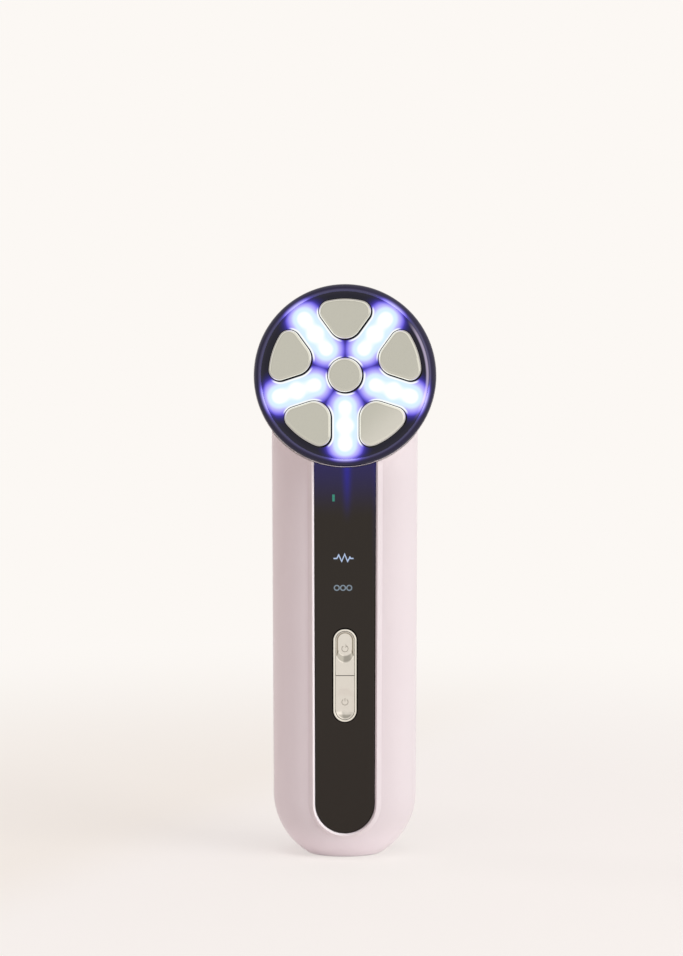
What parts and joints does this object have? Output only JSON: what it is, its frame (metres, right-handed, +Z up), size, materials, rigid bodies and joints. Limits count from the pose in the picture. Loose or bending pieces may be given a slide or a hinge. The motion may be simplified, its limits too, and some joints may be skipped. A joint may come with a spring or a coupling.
{
  "type": "facial toning device",
  "caption": "Hand-held facial toning device: round-ended handle with a glossy panel and pill-shaped push buttons, and a tilted round head with metal electrodes between rows of lights.",
  "frame": {"origin": "centre of the flat base that the device stands on, in the middle of the handle's depth", "axes": "+Z up along the handle to the head, -Y out of the front with the panel and electrodes, +X to the right as seen from the front"},
  "size_m": [0.0552, 0.0368, 0.1766],
  "materials": {
    "shell": "soft-touch satin, pale lilac pink",
    "panel": "polished black",
    "light_guide": "frosted clear",
    "trim": "polished, warm silver",
    "electrode": "mirror polished, warm silver",
    "bezel": "polished blue-black",
    "lens": "smoked, lit from behind",
    "seal": "soft foam and rubber",
    "led": "white packages",
    "board": "solder resist",
    "contact": "plated",
    "ribbon": "flat flexible cable",
    "switch": "moulded black",
    "plunger": "moulded ivory",
    "coil": "ferrite",
    "can": "sleeved can",
    "battery": "laminated pouch",
    "tray": "moulded natural",
    "lead": "insulated wire",
    "screw": "plated"
  },
  "bodies": {
    "body": {"front_housing": "shell", "rear_housing": "shell", "front_panel": "panel", "battery_light_guide": "light_guide", "ems_light_guide": "light_guide", "led_light_guide": "light_guide", "head_diffuser": "light_guide", "button_trim": "trim", "centre_electrode": "electrode", "outer_electrode_1": "electrode", "outer_electrode_2": "electrode", "outer_electrode_3": "electrode", "outer_electrode_4": "electrode", "outer_electrode_5": "electrode", "head_bezel": "bezel", "head_lens": "lens", "head_seal": "seal", "battery_pad": "seal", "head_leds": "led", "indicator_leds": "led", "led_board": "board", "main_board": "board", "contact_pins": "contact", "usb_port": "contact", "ribbon_cable": "ribbon", "mode_switch": "switch", "power_switch": "switch", "controller_chip": "switch", "transformer": "coil", "capacitors": "can", "battery": "battery", "battery_tray": "tray", "battery_leads": "lead", "housing_screws": "screw", "head_screws": "screw", "board_screws": "screw"},
    "mode_key": {"mode_button": "trim", "mode_plunger": "plunger"},
    "power_key": {"power_button": "trim", "power_plunger": "plunger"}
  },
  "joints": [
    {"name": "mode_key_press", "type": "slide", "parent": "body", "child": "mode_key", "axis": [0, 1, 0], "range_m": [0, 0.00035], "stiffness_N_per_m": 2500},
    {"name": "power_key_press", "type": "slide", "parent": "body", "child": "power_key", "axis": [0, 1, 0], "range_m": [0, 0.00035], "stiffness_N_per_m": 2500}
  ]
}
